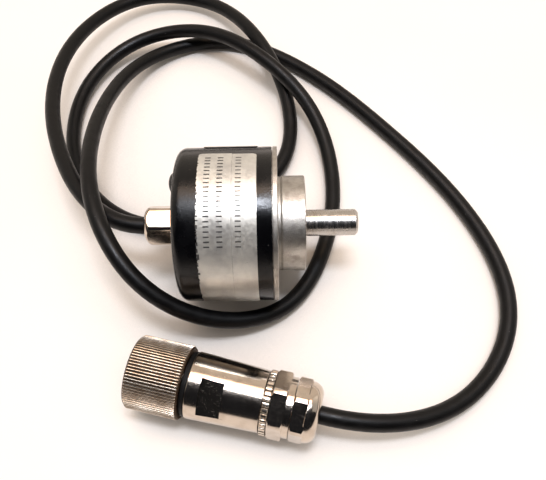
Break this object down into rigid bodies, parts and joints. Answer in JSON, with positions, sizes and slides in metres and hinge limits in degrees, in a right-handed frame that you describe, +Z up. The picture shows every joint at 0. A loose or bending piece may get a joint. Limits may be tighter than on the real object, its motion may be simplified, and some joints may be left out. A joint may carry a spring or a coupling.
{
  "type": "rotary encoder",
  "caption": "Incremental shaft encoder: round clamping flange and hub, solid shaft on ball bearings, black cap, rear cable gland, coiled cable and a knurled round plug.",
  "frame": {"origin": "On the resting surface, straight below the middle of the encoder without its cable and connector.", "axes": "+X along the shaft and out of the flange, +Z up, +Y away from the connector; the encoder lies on its side."},
  "size_m": [0.1986, 0.2363, 0.0584],
  "materials": {
    "bearing_steel": "hardened polished bearing steel",
    "black_housing": "semi-gloss black coating with slight orange peel",
    "black_plastic": "glossy black moulded plastic",
    "board_green": "green circuit board laminate",
    "brass": "turned brass",
    "cable_black": "smooth matt black cable sheath",
    "cage_plastic": "amber moulded nylon",
    "cast_aluminium": "bead-blasted, slightly grainy machined aluminium",
    "chip_black": "black moulded epoxy",
    "disc_glass": "clear glass with fine graduations",
    "insert_plastic": "black moulded insulator",
    "label_silver": null,
    "lens_clear": "clear moulded lens",
    "nickel": "warm nickel plating, satin to bright",
    "plate_dark": "thin dark foil plate, matt",
    "rubber": "black nitrile rubber, matt",
    "shaft_steel": "ground and polished stainless steel, warm reflections",
    "spring_steel": "dark oiled spring steel"
  },
  "bodies": {
    "housing": {"adapter_hex": "nickel", "board_header": "insert_plastic", "board_screw_1": "shaft_steel", "board_screw_2": "shaft_steel", "board_screw_3": "shaft_steel", "bore_circlip": "spring_steel", "cable": "cable_black", "cap_o_ring": "rubber", "clamp_nut": "nickel", "clamp_seal": "rubber", "condenser_lens": "lens_clear", "connector_sleeve": "nickel", "contact_insert": "insert_plastic", "flange_hub": "cast_aluminium", "front_outer_ring": "bearing_steel", "gland_body": "nickel", "gland_nut": "nickel", "gland_seal": "rubber", "housing_cap": "black_housing", "label_left": "label_silver", "label_right": "label_silver", "led": "lens_clear", "led_holder": "chip_black", "outer_spacer": "spring_steel", "photodetector": "chip_black", "preload_spring": "spring_steel", "rating_plate": "plate_dark", "rear_outer_ring": "bearing_steel", "rear_plug": "black_plastic", "scanning_reticle": "disc_glass", "sensor_board": "board_green", "serrated_ring": "nickel", "shaft_seal": "rubber", "signal_chip": "chip_black", "sleeve_o_ring": "rubber"},
    "shaft": {"shaft": "shaft_steel", "shaft_circlip": "spring_steel", "front_inner_ring": "bearing_steel", "rear_inner_ring": "bearing_steel", "inner_spacer": "spring_steel", "disc_hub": "brass", "code_disc": "disc_glass", "disc_clamp": "brass"},
    "front_balls": {"front_cage": "cage_plastic", "front_ball_1": "bearing_steel", "front_ball_2": "bearing_steel", "front_ball_3": "bearing_steel", "front_ball_4": "bearing_steel", "front_ball_5": "bearing_steel", "front_ball_6": "bearing_steel", "front_ball_7": "bearing_steel"},
    "rear_balls": {"rear_cage": "cage_plastic", "rear_ball_1": "bearing_steel", "rear_ball_2": "bearing_steel", "rear_ball_3": "bearing_steel", "rear_ball_4": "bearing_steel", "rear_ball_5": "bearing_steel", "rear_ball_6": "bearing_steel", "rear_ball_7": "bearing_steel"},
    "coupling_ring": {"coupling_ring": "nickel"}
  },
  "joints": [
    {"name": "shaft_turn", "type": "hinge", "parent": "housing", "child": "shaft", "pos_m": [0, 0, 0.029], "axis": [1, 0, 0], "continuous": true},
    {"name": "front_balls_turn", "type": "hinge", "parent": "housing", "child": "front_balls", "pos_m": [0.0114, 0, 0.029], "axis": [1, 0, 0], "continuous": true},
    {"name": "rear_balls_turn", "type": "hinge", "parent": "housing", "child": "rear_balls", "pos_m": [-0.0006, 0, 0.029], "axis": [1, 0, 0], "continuous": true},
    {"name": "coupling_ring_turn", "type": "hinge", "parent": "housing", "child": "coupling_ring", "pos_m": [-0.04026, -0.05243, 0.0133], "axis": [0.9693, -0.2458, 0], "continuous": true}
  ],
  "couplings": [
    {"joint": "front_balls_turn", "follows": "shaft_turn", "ratio": 0.36778},
    {"joint": "rear_balls_turn", "follows": "shaft_turn", "ratio": 0.36778}
  ]
}
